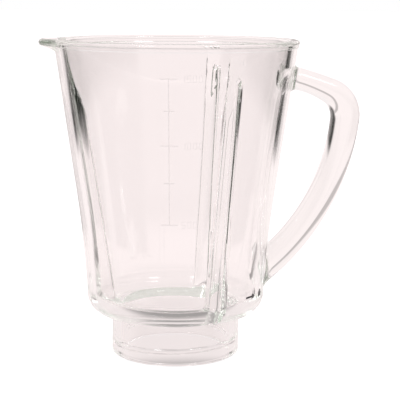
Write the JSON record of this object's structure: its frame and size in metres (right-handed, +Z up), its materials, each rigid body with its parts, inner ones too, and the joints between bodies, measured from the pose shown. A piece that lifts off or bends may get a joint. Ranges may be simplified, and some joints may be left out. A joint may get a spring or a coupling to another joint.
{
  "type": "glass blender jar",
  "caption": "Tapered glass blender jar with a pouring lip, a fused loop handle, stirring ribs inside and an open threaded collar at the base for a blade unit.",
  "frame": {"origin": "centre of the collar's foot, which is the plane the jar stands on", "axes": "+Z up along the vessel's axis, +X to the handle, the pouring lip towards -X, the graduations towards -Y"},
  "size_m": [0.1991, 0.1518, 0.197],
  "materials": {
    "glass": "clear pressed soda-lime glass, fire-polished",
    "relief": "moulded relief in the same clear glass",
    "enamel": "dark vitreous enamel, fired on"
  },
  "bodies": {
    "root": {"jar_body": "glass", "handle": "glass", "scale_lines": "relief", "scale_numerals": "relief", "alignment_ring": "relief", "lock_arrow": "enamel", "lock_padlock": "enamel"}
  },
  "joints": []
}
